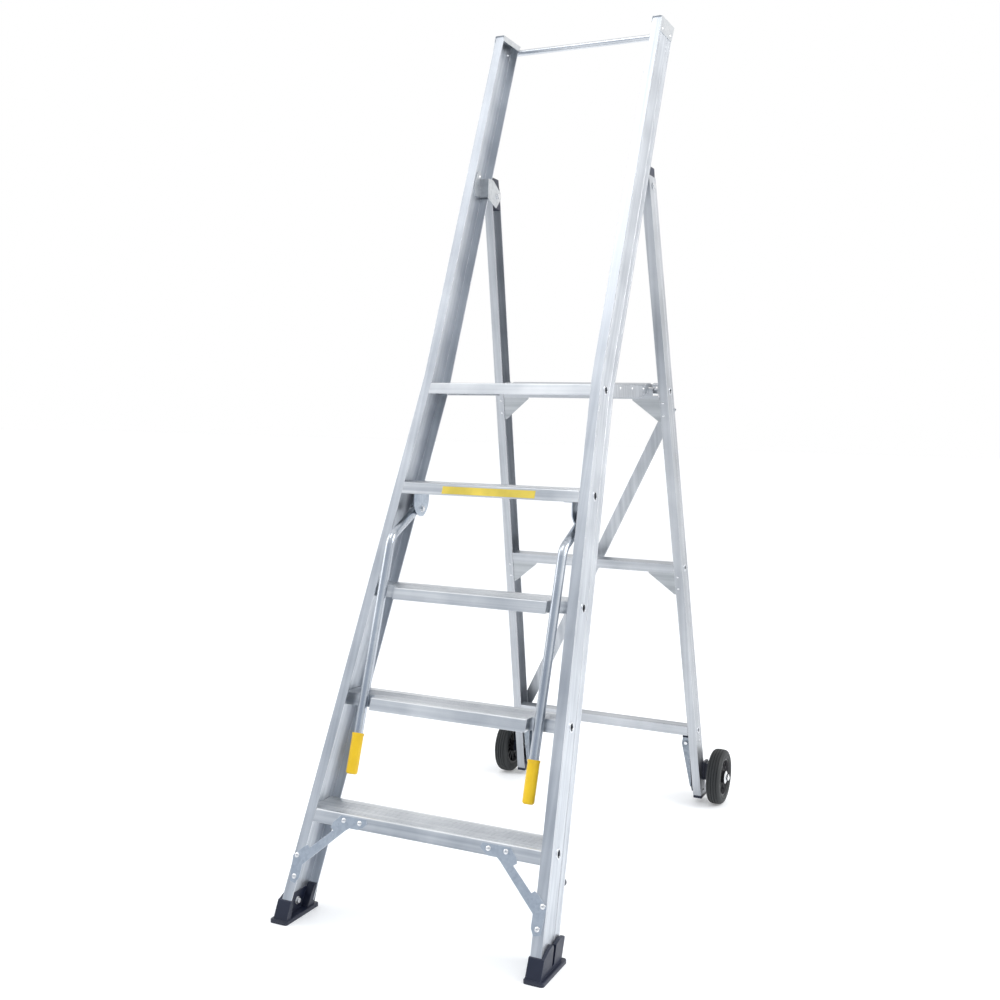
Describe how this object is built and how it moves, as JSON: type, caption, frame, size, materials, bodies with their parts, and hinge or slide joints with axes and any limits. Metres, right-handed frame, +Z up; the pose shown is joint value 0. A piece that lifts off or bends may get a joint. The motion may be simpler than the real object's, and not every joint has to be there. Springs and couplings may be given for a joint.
{
  "type": "rolling warehouse ladder",
  "caption": "Folding platform step ladder in aluminium with flat treads, high guard stiles, a wheeled rear frame and two lifting handles.",
  "frame": {"origin": "on the floor on the centre line, midway between the toes of the feet and the backs of the wheels", "axes": "+X to the climber's right, +Y away from the climber towards the wheels, +Z up"},
  "size_m": [0.8764, 1.624, 2.533],
  "materials": {
    "mill_aluminium": "drawn satin, light mill lines along the length",
    "ribbed_aluminium": "extruded, satin, ribbed",
    "aluminium_tube": "drawn tube, satin",
    "galvanised_steel": "galvanised, faintly spangled",
    "zinc_fasteners": "zinc plated",
    "navy_plastic": "moulded, fine texture",
    "hub_plastic": "moulded",
    "yellow_grip": "soft moulded vinyl",
    "yellow_label": "satin film",
    "tyre_rubber": "matt, grooved"
  },
  "bodies": {
    "climbing_frame": {"fold_buffers": "navy_plastic", "foot_bolts": "zinc_fasteners", "foot_left": "navy_plastic", "foot_right": "navy_plastic", "handle_bracket_left": "galvanised_steel", "handle_bracket_right": "galvanised_steel", "handle_pivot_bolts": "zinc_fasteners", "hinge_bolts": "zinc_fasteners", "hinge_bracket_left": "galvanised_steel", "hinge_bracket_right": "galvanised_steel", "knee_brace_left": "galvanised_steel", "knee_brace_right": "galvanised_steel", "knee_brace_screws": "zinc_fasteners", "platform_nosing": "ribbed_aluminium", "platform_pivot_bolts": "zinc_fasteners", "stile_left": "mill_aluminium", "stile_right": "mill_aluminium", "stile_rivets": "zinc_fasteners", "top_bar": "aluminium_tube", "top_cap_left": "galvanised_steel", "top_cap_right": "galvanised_steel", "tread_1": "ribbed_aluminium", "tread_2": "ribbed_aluminium", "tread_3": "ribbed_aluminium", "tread_4": "ribbed_aluminium", "tread_label": "yellow_label", "tread_tubes": "aluminium_tube"},
    "rear_frame": {"leg_left": "mill_aluminium", "leg_right": "mill_aluminium", "top_rail": "mill_aluminium", "mid_rail": "mill_aluminium", "bottom_rail": "mill_aluminium", "rail_tubes": "aluminium_tube", "upper_gusset_left": "mill_aluminium", "upper_gusset_right": "mill_aluminium", "middle_gusset_left": "mill_aluminium", "middle_gusset_right": "mill_aluminium", "diagonal_brace": "mill_aluminium", "leg_top_plug_left": "navy_plastic", "leg_top_plug_right": "navy_plastic", "leg_foot_plugs": "navy_plastic", "axle_stay_left": "galvanised_steel", "axle_stay_right": "galvanised_steel", "stay_blocks": "navy_plastic", "rear_frame_rivets": "zinc_fasteners", "wheel_spacers": "navy_plastic", "axle_left": "zinc_fasteners", "axle_right": "zinc_fasteners"},
    "platform": {"platform_side_left": "mill_aluminium", "platform_side_right": "mill_aluminium", "platform_planks": "ribbed_aluminium", "platform_rivets": "zinc_fasteners"},
    "handle_left": {"handle_tube_left": "aluminium_tube", "handle_grip_left": "yellow_grip"},
    "handle_right": {"handle_tube_right": "aluminium_tube", "handle_grip_right": "yellow_grip"},
    "wheel_left": {"tyre_left": "tyre_rubber", "wheel_hub_left": "hub_plastic"},
    "wheel_right": {"tyre_right": "tyre_rubber", "wheel_hub_right": "hub_plastic"}
  },
  "joints": [
    {"name": "fold", "type": "hinge", "parent": "climbing_frame", "child": "rear_frame", "pos_m": [0, 0.166, 2.022], "axis": [-1, 0, 0], "range_deg": [0, 36.5]},
    {"name": "platform_lift", "type": "hinge", "parent": "climbing_frame", "child": "platform", "pos_m": [0, -0.144, 1.4], "axis": [1, 0, 0], "range_deg": [0, 66.8]},
    {"name": "handle_left_lift", "type": "hinge", "parent": "climbing_frame", "child": "handle_left", "pos_m": [-0.257, -0.297, 1.053], "axis": [-1, 0, 0], "range_deg": [0, 45]},
    {"name": "handle_right_lift", "type": "hinge", "parent": "climbing_frame", "child": "handle_right", "pos_m": [0.257, -0.297, 1.053], "axis": [-1, 0, 0], "range_deg": [0, 45]},
    {"name": "wheel_left_spin", "type": "hinge", "parent": "rear_frame", "child": "wheel_left", "pos_m": [-0.3997, 0.718, 0.094], "axis": [1, 0, 0], "continuous": true},
    {"name": "wheel_right_spin", "type": "hinge", "parent": "rear_frame", "child": "wheel_right", "pos_m": [0.3997, 0.718, 0.094], "axis": [1, 0, 0], "continuous": true}
  ],
  "couplings": [
    {"joint": "platform_lift", "follows": "fold", "ratio": 1.83}
  ]
}
